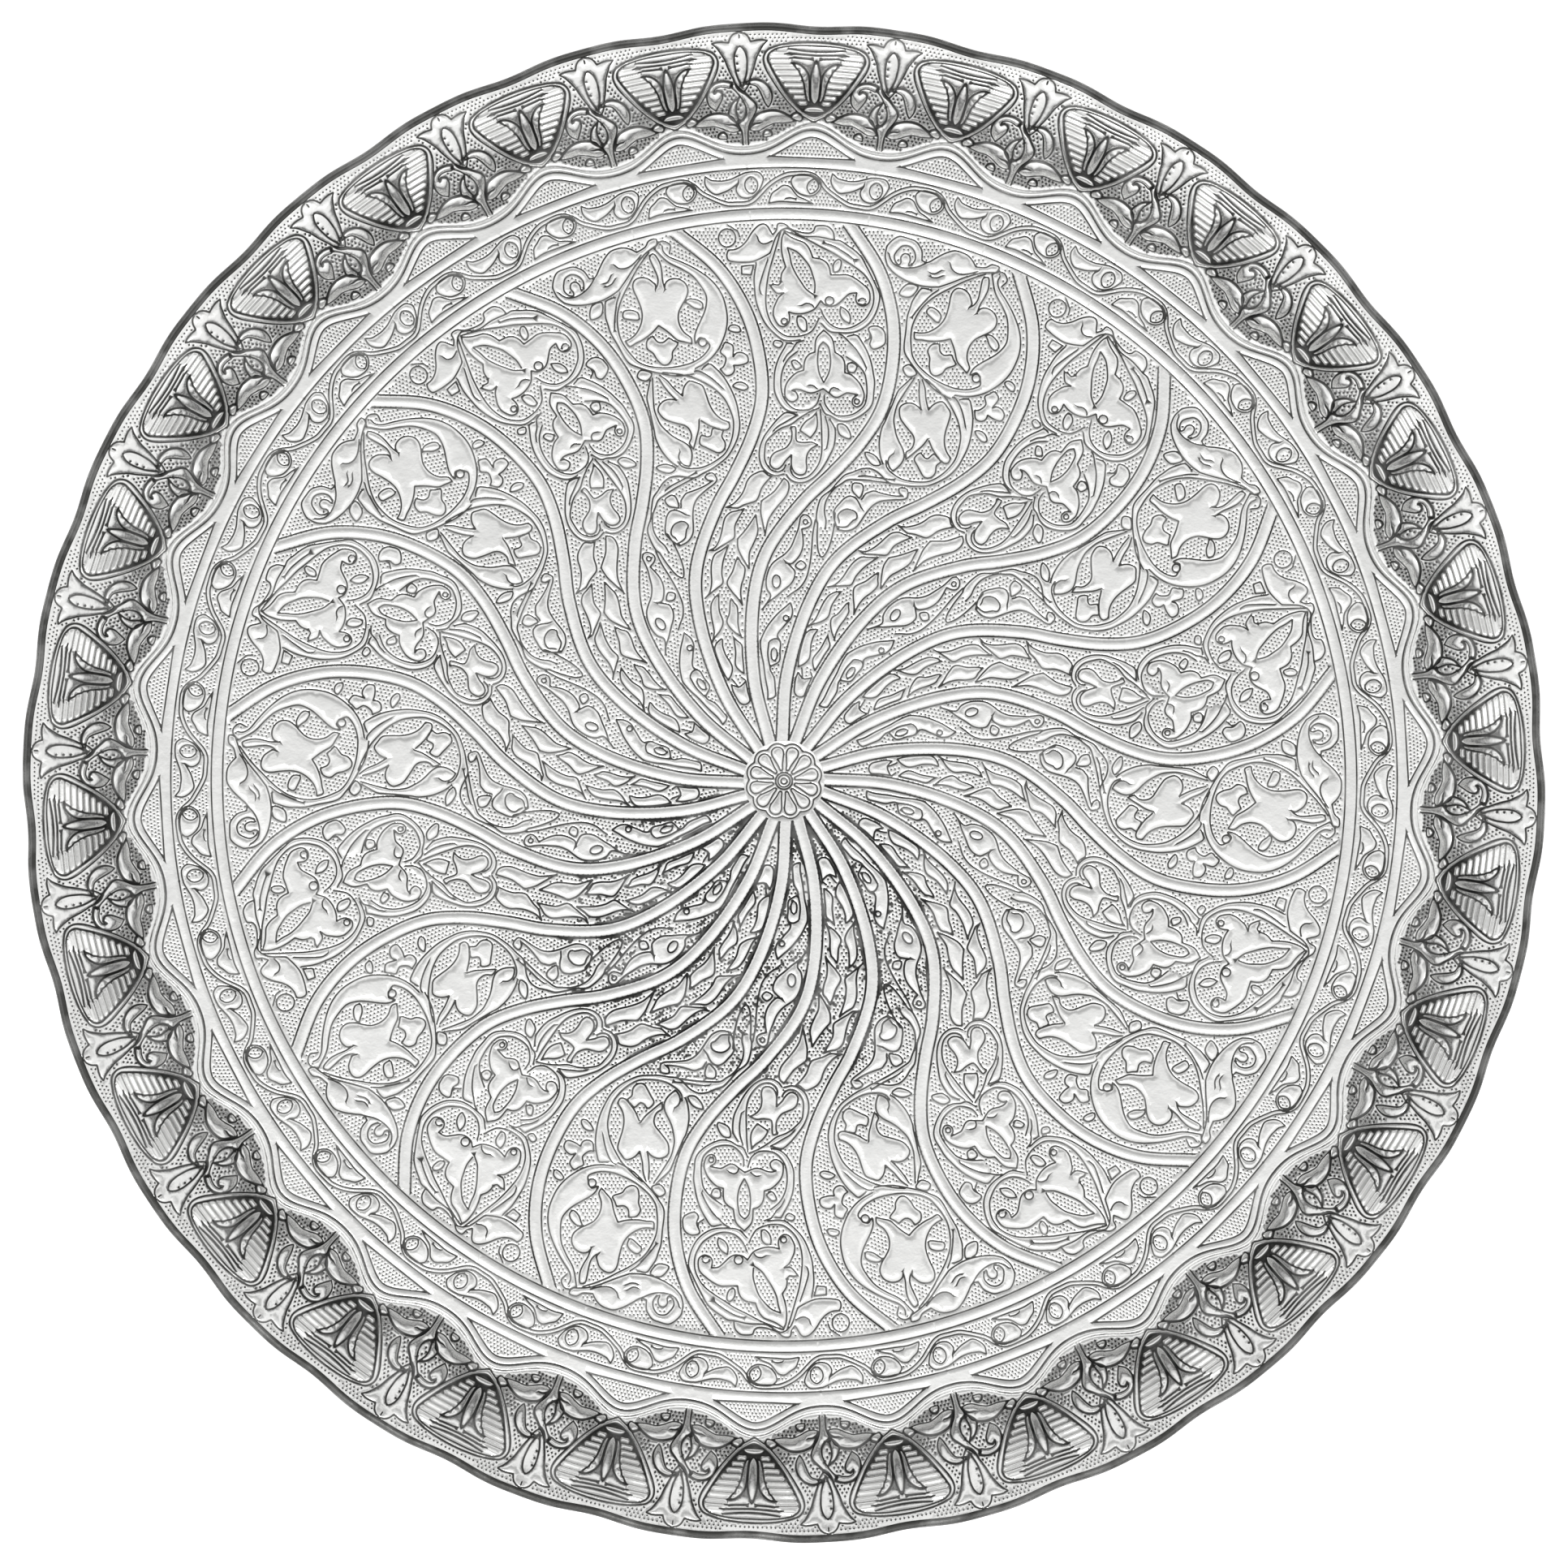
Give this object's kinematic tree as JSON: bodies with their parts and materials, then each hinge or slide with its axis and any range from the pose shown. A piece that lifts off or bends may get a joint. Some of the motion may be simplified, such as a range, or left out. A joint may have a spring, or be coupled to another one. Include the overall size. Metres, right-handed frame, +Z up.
{
  "type": "serving tray",
  "caption": "Large round embossed metal serving tray with a flat well, a flared fluted wall and a scalloped edge rolled round a wire.",
  "frame": {"origin": "centre of the flat underside of the well, which is the lowest plane of the tray", "axes": "+Z up out of the well along the tray's axis; +Y towards the top of the picture, +X to its right"},
  "size_m": [0.6006, 0.6004, 0.0299],
  "materials": {
    "silver_plate": "bright silver plate over sheet brass, darkened in the chased grooves",
    "iron_wire": "plain drawn wire, hidden in the rolled edge"
  },
  "bodies": {
    "root": {"tray_sheet": "silver_plate", "rim_wire": "iron_wire"}
  },
  "joints": []
}
